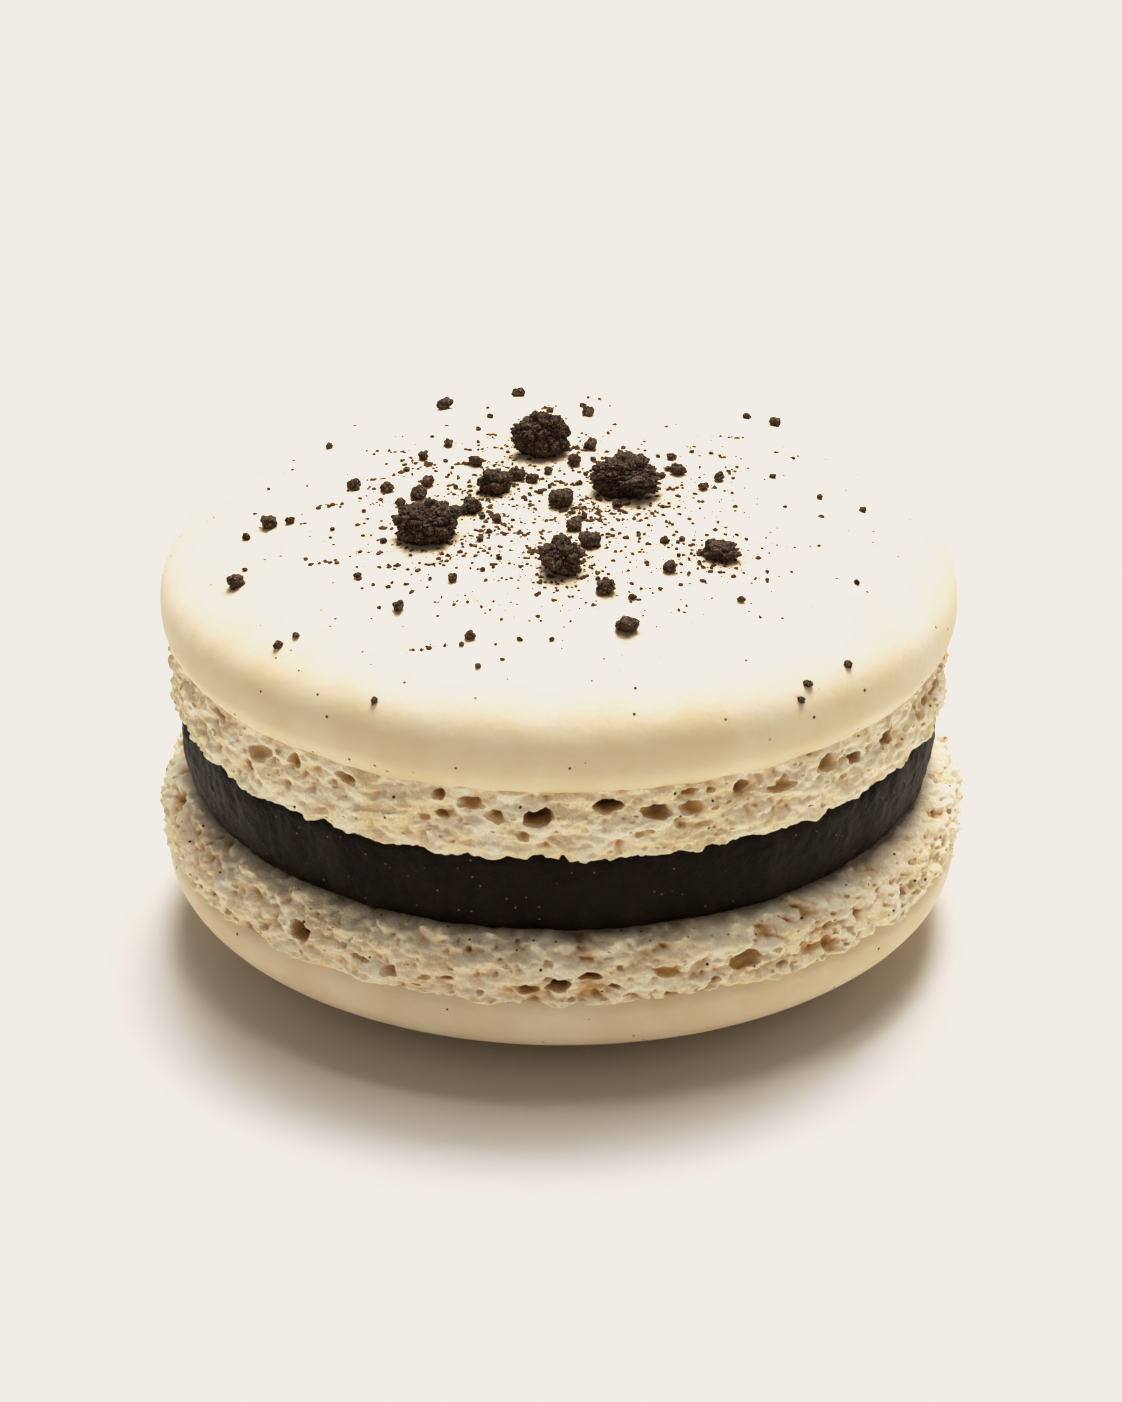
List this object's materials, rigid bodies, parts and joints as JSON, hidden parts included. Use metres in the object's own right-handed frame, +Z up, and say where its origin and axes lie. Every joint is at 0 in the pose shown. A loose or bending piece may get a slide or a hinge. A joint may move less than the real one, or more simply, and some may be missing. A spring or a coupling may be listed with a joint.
{
  "type": "macaron",
  "caption": "Round sandwich biscuit of two domed meringue shells with ruffled feet, a dark filling between them and cookie crumbs baked onto the upper shell.",
  "frame": {"origin": "centre of the bounding box's bottom face, on the flat spot that the lower shell rests on", "axes": "+Z up along the axis of the biscuit; -Y towards the side seen in the picture; +X to the right in the picture"},
  "size_m": [0.0457, 0.0456, 0.0286],
  "materials": {
    "meringue_shell": "matt, smooth eggshell skin on the cap, pale and porous on the foot",
    "dark_filling": "soft satin, fine grained cocoa cookie filling"
  },
  "bodies": {
    "root": {"bottom_shell": "meringue_shell", "filling": "dark_filling", "top_shell": "meringue_shell"}
  },
  "joints": []
}
